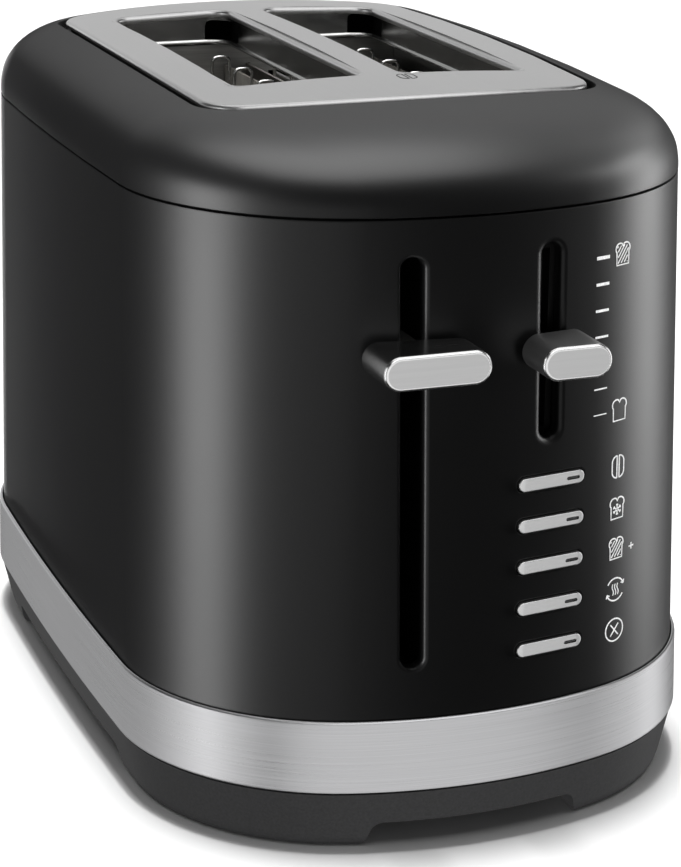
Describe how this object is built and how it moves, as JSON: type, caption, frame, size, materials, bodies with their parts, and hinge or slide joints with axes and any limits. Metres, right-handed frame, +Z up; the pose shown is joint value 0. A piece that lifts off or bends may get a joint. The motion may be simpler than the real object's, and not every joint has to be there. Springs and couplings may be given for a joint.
{
  "type": "pop up toaster",
  "caption": "Long two-well pop-up toaster: black case, stainless top plate and band, sliding lever and browning knobs, push buttons and rear crumb tray",
  "frame": {"origin": "centre of the bounding box on the floor plane, under the case", "axes": "+Z up, front with the lever at -Y, +X to the right when facing the front"},
  "size_m": [0.1796, 0.3054, 0.2087],
  "materials": {
    "black_coat": "fine matte black powder coat",
    "satin_steel": "satin stainless, fine grain",
    "brushed_band": "brushed along its length",
    "dark_plastic": "mid grey, fine matte",
    "foot_rubber": "matte",
    "screw_steel": "zinc plated",
    "black_plastic": "semi-matte black",
    "tray_sheet": "plain sheet",
    "satin_knob": "satin with a bright chamfer",
    "button_satin": "satin silver",
    "light_window": "smoked window",
    "bright_sheet": "bright heat-proof sheet",
    "wire_steel": "bright wire and rod",
    "coil_copper": "enamelled winding and copper leaf",
    "mica": "mica sheet",
    "heater_wire": "resistance ribbon",
    "circuit_board": "green board with black parts"
  },
  "bodies": {
    "case": {"lid": "black_coat", "body_shell": "black_coat", "top_plate": "satin_steel", "base_band": "brushed_band", "base": "dark_plastic", "foot_pad_front_left": "foot_rubber", "foot_pad_front_right": "foot_rubber", "foot_pad_rear_left": "foot_rubber", "foot_pad_rear_right": "foot_rubber", "base_screw_front_left": "screw_steel", "base_screw_front_right": "screw_steel", "base_screw_rear_left": "screw_steel", "base_screw_rear_right": "screw_steel", "cord_inlet": "black_plastic", "browning_potentiometer": "black_plastic", "button_carrier": "black_plastic", "magnet_core": "bright_sheet", "front_end_plate": "bright_sheet", "rear_end_plate": "bright_sheet", "reflector_left": "bright_sheet", "reflector_right": "bright_sheet", "guide_rod": "wire_steel", "lift_spring": "wire_steel", "magnet_coil": "coil_copper", "main_contacts": "coil_copper", "heater_card_left_inner": "mica", "heater_card_left_outer": "mica", "heater_card_right_inner": "mica", "heater_card_right_outer": "mica", "heater_winding_left_inner": "heater_wire", "heater_winding_left_outer": "heater_wire", "heater_winding_right_inner": "heater_wire", "heater_winding_right_outer": "heater_wire", "control_board": "circuit_board", "power_board": "circuit_board"},
    "lift": {"lever_knob": "satin_knob", "lever_arm": "bright_sheet", "lift_carriage": "black_plastic", "latch_keeper": "bright_sheet", "bread_rack_left": "wire_steel", "bread_rack_right": "wire_steel"},
    "guard_left_inner": {"bread_guard_left_inner": "wire_steel"},
    "guard_left_outer": {"bread_guard_left_outer": "wire_steel"},
    "guard_right_inner": {"bread_guard_right_inner": "wire_steel"},
    "guard_right_outer": {"bread_guard_right_outer": "wire_steel"},
    "browning_slider": {"browning_knob": "satin_knob", "browning_stem": "black_plastic"},
    "button_1_cap": {"button_1": "button_satin", "lens_1": "light_window"},
    "button_2_cap": {"button_2": "button_satin", "lens_2": "light_window"},
    "button_3_cap": {"button_3": "button_satin", "lens_3": "light_window"},
    "button_4_cap": {"button_4": "button_satin", "lens_4": "light_window"},
    "button_5_cap": {"button_5": "button_satin", "lens_5": "light_window"},
    "tray": {"crumb_tray": "tray_sheet", "crumb_tray_handle": "dark_plastic"}
  },
  "joints": [
    {"name": "lift_lever", "type": "slide", "parent": "case", "child": "lift", "axis": [0, 0, 1], "range_m": [-0.086, 0.021], "stiffness_N_per_m": 60, "springref_m": 0.0135, "deforming": ["lift_spring"]},
    {"name": "guard_left_inner_slide", "type": "slide", "parent": "case", "child": "guard_left_inner", "axis": [-1, 0, 0], "range_m": [-0.0013, 0.0051]},
    {"name": "guard_left_outer_slide", "type": "slide", "parent": "case", "child": "guard_left_outer", "axis": [1, 0, 0], "range_m": [-0.0013, 0.0051]},
    {"name": "guard_right_inner_slide", "type": "slide", "parent": "case", "child": "guard_right_inner", "axis": [1, 0, 0], "range_m": [-0.0013, 0.0051]},
    {"name": "guard_right_outer_slide", "type": "slide", "parent": "case", "child": "guard_right_outer", "axis": [-1, 0, 0], "range_m": [-0.0013, 0.0051]},
    {"name": "browning_slide", "type": "slide", "parent": "case", "child": "browning_slider", "axis": [0, 0, 1], "range_m": [-0.0226, 0.0226]},
    {"name": "button_1_press", "type": "slide", "parent": "case", "child": "button_1_cap", "axis": [0, 1, 0], "range_m": [0, 0.001], "stiffness_N_per_m": 400},
    {"name": "button_2_press", "type": "slide", "parent": "case", "child": "button_2_cap", "axis": [0, 1, 0], "range_m": [0, 0.001], "stiffness_N_per_m": 400},
    {"name": "button_3_press", "type": "slide", "parent": "case", "child": "button_3_cap", "axis": [0, 1, 0], "range_m": [0, 0.001], "stiffness_N_per_m": 400},
    {"name": "button_4_press", "type": "slide", "parent": "case", "child": "button_4_cap", "axis": [0, 1, 0], "range_m": [0, 0.001], "stiffness_N_per_m": 400},
    {"name": "button_5_press", "type": "slide", "parent": "case", "child": "button_5_cap", "axis": [0, 1, 0], "range_m": [0, 0.001], "stiffness_N_per_m": 400},
    {"name": "crumb_tray_slide", "type": "slide", "parent": "case", "child": "tray", "axis": [0, 1, 0], "range_m": [0, 0.2]}
  ],
  "couplings": [
    {"joint": "guard_left_inner_slide", "follows": "lift_lever", "ratio": -0.0581},
    {"joint": "guard_left_outer_slide", "follows": "lift_lever", "ratio": -0.0581},
    {"joint": "guard_right_inner_slide", "follows": "lift_lever", "ratio": -0.0581},
    {"joint": "guard_right_outer_slide", "follows": "lift_lever", "ratio": -0.0581}
  ]
}
